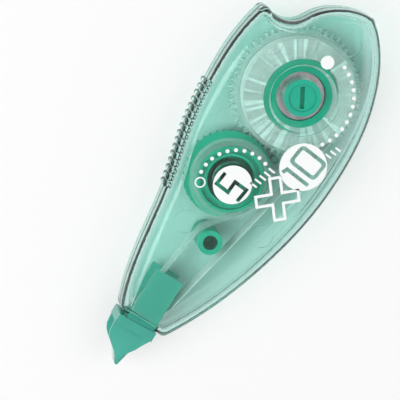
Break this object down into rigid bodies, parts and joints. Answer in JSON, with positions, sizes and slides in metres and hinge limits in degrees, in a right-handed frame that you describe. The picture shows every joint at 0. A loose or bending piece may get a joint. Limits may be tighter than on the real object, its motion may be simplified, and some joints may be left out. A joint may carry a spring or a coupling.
{
  "type": "correction tape roller",
  "caption": "Flat tear-shaped correction tape dispenser with clear shells, geared supply and take-up reels, tension knob and applicator head.",
  "frame": {"origin": "on the supply reel's axis, at the flat back face that the object lies on", "axes": "+X from the applicator tip towards the rounded rear end, +Y towards the ribbed finger grip, +Z out of the printed front face"},
  "size_m": [0.1054, 0.0416, 0.014],
  "materials": {
    "clear_green_case": "polished clear moulding, green tint",
    "green_reel": "moulded, satin",
    "natural_clear": "moulded, uncoloured, satin",
    "green_knob": "moulded, glossy",
    "green_head": "moulded, glossy",
    "white_coating": "matt white coating",
    "clear_film": "thin clear film",
    "black_rubber": "moulded, matt",
    "spring_steel": "bright drawn wire and pressed strip"
  },
  "bodies": {
    "case": {"rear_cover": "clear_green_case", "front_cover": "clear_green_case", "applicator_head": "green_head", "feed_tape": "white_coating", "return_film": "clear_film"},
    "supply_reel": {"supply_core": "green_reel", "tape_roll": "white_coating", "lower_tape_disc": "clear_film", "upper_tape_disc": "clear_film"},
    "drive_train": {"drive_gear": "natural_clear", "clutch_ring": "black_rubber", "clutch_spring": "spring_steel", "clutch_washer": "spring_steel", "tension_knob": "green_knob"},
    "takeup_reel": {"takeup_spool": "green_reel", "film_roll": "clear_film", "film_disc": "clear_film"},
    "guide_roller": {"guide_roller": "green_reel"}
  },
  "joints": [
    {"name": "supply_reel_spin", "type": "hinge", "parent": "case", "child": "supply_reel", "pos_m": [0, 0, 0.0072], "axis": [0, 0, 1], "continuous": true},
    {"name": "drive_gear_spin", "type": "hinge", "parent": "case", "child": "drive_train", "pos_m": [0, 0, 0.0072], "axis": [0, 0, 1], "continuous": true},
    {"name": "takeup_spin", "type": "hinge", "parent": "case", "child": "takeup_reel", "pos_m": [-0.02614, 0.00371, 0.0072], "axis": [0, 0, 1], "continuous": true},
    {"name": "guide_roller_spin", "type": "hinge", "parent": "case", "child": "guide_roller", "pos_m": [-0.0418, 0.0002, 0.0072], "axis": [0, 0, 1], "continuous": true}
  ],
  "couplings": [
    {"joint": "drive_gear_spin", "follows": "supply_reel_spin", "ratio": 1},
    {"joint": "takeup_spin", "follows": "supply_reel_spin", "ratio": -1.5263},
    {"joint": "guide_roller_spin", "follows": "supply_reel_spin", "ratio": 4.604}
  ]
}
